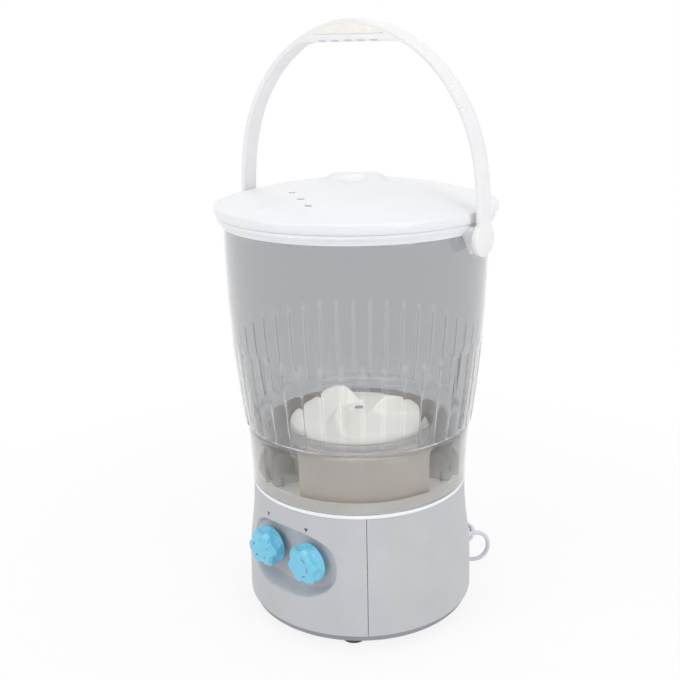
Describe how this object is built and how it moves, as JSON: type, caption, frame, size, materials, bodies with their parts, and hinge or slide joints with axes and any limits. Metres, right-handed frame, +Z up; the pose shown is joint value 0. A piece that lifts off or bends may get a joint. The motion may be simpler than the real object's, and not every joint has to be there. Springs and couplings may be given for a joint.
{
  "type": "mini washing machine",
  "caption": "Small top-loading washer: translucent fluted tub with pulsator on a round base with timer and selector knobs, lift-off lid and swinging bail handle.",
  "frame": {"origin": "on the floor under the axis of the tub, in the plane of the feet's undersides", "axes": "+Z up along the tub's axis, -Y towards the front with the knobs, X through the handle's pivots"},
  "size_m": [0.35, 0.3818, 0.7],
  "materials": {
    "base_shell": "fine satin",
    "control_panel": "fine satin",
    "bottom_cover": "matte",
    "cover_screws": "zinc plated",
    "rubber_feet": "matte",
    "foot_screws": "zinc plated",
    "trim_ring": "glossy",
    "base_deck": "satin",
    "wash_tub": "translucent plastic",
    "tub_screws": "zinc plated",
    "rim_band": "glossy",
    "pivot_pins": "turned",
    "shaft_seal": "matte",
    "bearing_housing": "as cast",
    "shaft_bushes": "turned",
    "drive_plate": "zinc plated",
    "plate_screws": "zinc plated",
    "drive_belt": "matte",
    "motor_upper_bell": "as cast",
    "motor_lower_bell": "as cast",
    "motor_stator": "laminated",
    "motor_windings": "varnished copper",
    "motor_bolts": "zinc plated",
    "motor_mounts": "matte",
    "capacitor": "smooth",
    "terminal_block": "smooth",
    "timer_body": "smooth",
    "selector_body": "smooth",
    "drain_pipe": "smooth",
    "drain_spout": "smooth",
    "cord_gland": "soft",
    "power_cord": "smooth sheath",
    "cord_hank": "smooth sheath",
    "cord_tie": "matte",
    "cord_to_plug": "smooth sheath",
    "plug_body": "satin",
    "plug_pins": "plain",
    "lid": "glossy",
    "handle_bail": "glossy",
    "handle_grip_insert": "soft, satin",
    "pivot_caps": "glossy",
    "pulsator": "satin",
    "pulsator_screw": "turned",
    "drive_shaft": "ground",
    "large_pulley": "moulded",
    "pulley_nut": "zinc plated",
    "motor_rotor": "ground",
    "motor_pulley": "turned",
    "timer_knob": "satin",
    "timer_shaft": "turned",
    "selector_knob": "satin",
    "selector_shaft": "turned"
  },
  "bodies": {
    "machine": {"base_shell": "base_shell", "control_panel": "control_panel", "bottom_cover": "bottom_cover", "cover_screws": "cover_screws", "rubber_feet": "rubber_feet", "foot_screws": "foot_screws", "trim_ring": "trim_ring", "base_deck": "base_deck", "wash_tub": "wash_tub", "tub_screws": "tub_screws", "rim_band": "rim_band", "pivot_pins": "pivot_pins", "shaft_seal": "shaft_seal", "bearing_housing": "bearing_housing", "shaft_bushes": "shaft_bushes", "drive_plate": "drive_plate", "plate_screws": "plate_screws", "drive_belt": "drive_belt", "motor_upper_bell": "motor_upper_bell", "motor_lower_bell": "motor_lower_bell", "motor_stator": "motor_stator", "motor_windings": "motor_windings", "motor_bolts": "motor_bolts", "motor_mounts": "motor_mounts", "capacitor": "capacitor", "terminal_block": "terminal_block", "timer_body": "timer_body", "selector_body": "selector_body", "drain_pipe": "drain_pipe", "drain_spout": "drain_spout", "cord_gland": "cord_gland", "power_cord": "power_cord", "cord_hank": "cord_hank", "cord_tie": "cord_tie", "cord_to_plug": "cord_to_plug", "plug_body": "plug_body", "plug_pins": "plug_pins"},
    "lid": {"lid": "lid"},
    "handle": {"handle_bail": "handle_bail", "handle_grip_insert": "handle_grip_insert", "pivot_caps": "pivot_caps"},
    "pulsator_unit": {"pulsator": "pulsator", "pulsator_screw": "pulsator_screw", "drive_shaft": "drive_shaft", "large_pulley": "large_pulley", "pulley_nut": "pulley_nut"},
    "motor_unit": {"motor_rotor": "motor_rotor", "motor_pulley": "motor_pulley"},
    "timer_dial": {"timer_knob": "timer_knob", "timer_shaft": "timer_shaft"},
    "selector_dial": {"selector_knob": "selector_knob", "selector_shaft": "selector_shaft"}
  },
  "joints": [
    {"name": "handle_swing", "type": "hinge", "parent": "machine", "child": "handle", "pos_m": [0, 0, 0.475], "axis": [1, 0, 0], "range_deg": [-120, 120]},
    {"name": "lid_lift", "type": "slide", "parent": "machine", "child": "lid", "axis": [0, 0, 1], "range_m": [0, 0.05]},
    {"name": "pulsator_spin", "type": "hinge", "parent": "machine", "child": "pulsator_unit", "pos_m": [0, 0, 0.2], "axis": [0, 0, 1], "continuous": true},
    {"name": "motor_spin", "type": "hinge", "parent": "machine", "child": "motor_unit", "pos_m": [0.04802, 0.06146, 0.1], "axis": [0, 0, 1], "continuous": true},
    {"name": "timer_turn", "type": "hinge", "parent": "machine", "child": "timer_dial", "pos_m": [-0.03971, -0.12798, 0.1035], "axis": [0.0558, 0.9984, 0], "range_deg": [0, 330]},
    {"name": "selector_turn", "type": "hinge", "parent": "machine", "child": "selector_dial", "pos_m": [0.02519, -0.13161, 0.1035], "axis": [0.0558, 0.9984, 0], "range_deg": [0, 120]}
  ],
  "couplings": [
    {"joint": "motor_spin", "follows": "pulsator_spin", "ratio": 4}
  ]
}
